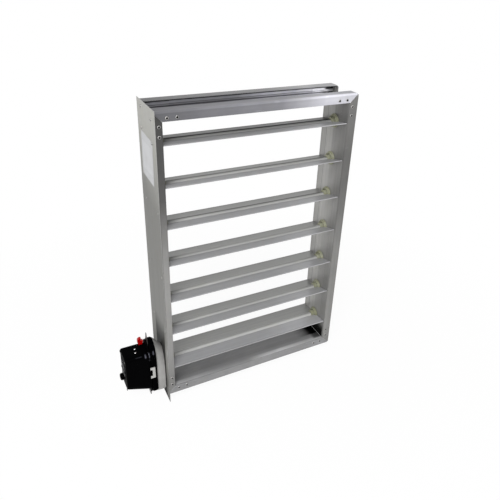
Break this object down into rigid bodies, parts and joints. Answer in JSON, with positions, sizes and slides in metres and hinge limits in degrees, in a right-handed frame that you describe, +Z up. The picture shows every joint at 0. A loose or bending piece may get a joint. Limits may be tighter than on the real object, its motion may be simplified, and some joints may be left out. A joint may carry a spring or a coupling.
{
  "type": "zone damper",
  "caption": "Rectangular duct zone damper: aluminium channel frame, parallel blades on nylon hubs, side link bar and a rotary actuator with a manual release.",
  "frame": {"origin": "middle of the bottom rail's flange on the rear duct face", "axes": "+X across the airway away from the actuator, +Y along the air flow out of the rear duct face, +Z up"},
  "size_m": [0.6115, 0.13, 0.79],
  "materials": {
    "frame_aluminium": "mill-finish extruded channel with fine lines along it",
    "blade_aluminium": "mill-finish extrusion, slightly dull",
    "plate_metal": "flat satin sheet",
    "cleat_steel": "plated sheet",
    "hub_nylon": "moulded, yellowish off-white",
    "crank_steel": "plated",
    "link_steel": "plated",
    "shaft_steel": "ground and plated",
    "sleeve_plastic": "moulded",
    "dial_plastic": "moulded, black",
    "adapter_plastic": "moulded, light grey",
    "case_plastic": "moulded, black, fine grain",
    "strap_steel": "plated",
    "button_plastic": "moulded, red",
    "clip_plastic": "moulded, off-white",
    "gland_plastic": "moulded, black"
  },
  "bodies": {
    "frame": {"top_rail": "frame_aluminium", "bottom_rail": "frame_aluminium", "drive_side_rail": "frame_aluminium", "idle_side_rail": "frame_aluminium", "cleat_front_bottom_left": "cleat_steel", "cleat_front_bottom_right": "cleat_steel", "cleat_front_top_left": "cleat_steel", "cleat_front_top_right": "cleat_steel", "cleat_rear_bottom_left": "cleat_steel", "cleat_rear_bottom_right": "cleat_steel", "cleat_rear_top_left": "cleat_steel", "cleat_rear_top_right": "cleat_steel", "cover_plate": "plate_metal", "mounting_adapter": "adapter_plastic", "actuator_base": "case_plastic", "anti_rotation_strap": "strap_steel", "actuator_housing": "case_plastic", "retaining_clip": "clip_plastic", "cable_gland": "gland_plastic"},
    "blade_unit_1": {"blade_1": "blade_aluminium", "idle_hub_1": "hub_nylon", "drive_hub_1": "hub_nylon", "crank_1": "crank_steel", "drive_shaft": "shaft_steel", "output_sleeve": "sleeve_plastic", "position_dial": "dial_plastic"},
    "blade_unit_2": {"blade_2": "blade_aluminium", "idle_hub_2": "hub_nylon", "drive_hub_2": "hub_nylon", "crank_2": "crank_steel"},
    "blade_unit_3": {"blade_3": "blade_aluminium", "idle_hub_3": "hub_nylon", "drive_hub_3": "hub_nylon", "crank_3": "crank_steel"},
    "blade_unit_4": {"blade_4": "blade_aluminium", "idle_hub_4": "hub_nylon", "drive_hub_4": "hub_nylon", "crank_4": "crank_steel"},
    "blade_unit_5": {"blade_5": "blade_aluminium", "idle_hub_5": "hub_nylon", "drive_hub_5": "hub_nylon", "crank_5": "crank_steel"},
    "blade_unit_6": {"blade_6": "blade_aluminium", "idle_hub_6": "hub_nylon", "drive_hub_6": "hub_nylon", "crank_6": "crank_steel"},
    "blade_unit_7": {"blade_7": "blade_aluminium", "idle_hub_7": "hub_nylon", "drive_hub_7": "hub_nylon", "crank_7": "crank_steel"},
    "link": {"link_bar": "link_steel"},
    "button": {"release_button": "button_plastic"}
  },
  "joints": [
    {"name": "drive_turn", "type": "hinge", "parent": "frame", "child": "blade_unit_1", "pos_m": [0, -0.055, 0.0695], "axis": [1, 0, 0], "range_deg": [-74, 13]},
    {"name": "blade_2_turn", "type": "hinge", "parent": "frame", "child": "blade_unit_2", "pos_m": [0, -0.055, 0.1695], "axis": [1, 0, 0], "range_deg": [-74, 13]},
    {"name": "blade_3_turn", "type": "hinge", "parent": "frame", "child": "blade_unit_3", "pos_m": [0, -0.055, 0.2695], "axis": [1, 0, 0], "range_deg": [-74, 13]},
    {"name": "blade_4_turn", "type": "hinge", "parent": "frame", "child": "blade_unit_4", "pos_m": [0, -0.055, 0.3695], "axis": [1, 0, 0], "range_deg": [-74, 13]},
    {"name": "blade_5_turn", "type": "hinge", "parent": "frame", "child": "blade_unit_5", "pos_m": [0, -0.055, 0.4695], "axis": [1, 0, 0], "range_deg": [-74, 13]},
    {"name": "blade_6_turn", "type": "hinge", "parent": "frame", "child": "blade_unit_6", "pos_m": [0, -0.055, 0.5695], "axis": [1, 0, 0], "range_deg": [-74, 13]},
    {"name": "blade_7_turn", "type": "hinge", "parent": "frame", "child": "blade_unit_7", "pos_m": [0, -0.055, 0.6695], "axis": [1, 0, 0], "range_deg": [-74, 13]},
    {"name": "link_turn", "type": "hinge", "parent": "blade_unit_1", "child": "link", "pos_m": [-0.239, -0.03357, 0.08238], "axis": [1, 0, 0], "range_deg": [-13, 74]},
    {"name": "release_press", "type": "slide", "parent": "frame", "child": "button", "axis": [0, 0, -1], "range_m": [0, 0.005], "stiffness_N_per_m": 200}
  ],
  "couplings": [
    {"joint": "blade_2_turn", "follows": "drive_turn", "ratio": 1},
    {"joint": "blade_3_turn", "follows": "drive_turn", "ratio": 1},
    {"joint": "blade_4_turn", "follows": "drive_turn", "ratio": 1},
    {"joint": "blade_5_turn", "follows": "drive_turn", "ratio": 1},
    {"joint": "blade_6_turn", "follows": "drive_turn", "ratio": 1},
    {"joint": "blade_7_turn", "follows": "drive_turn", "ratio": 1},
    {"joint": "link_turn", "follows": "drive_turn", "ratio": -1}
  ]
}
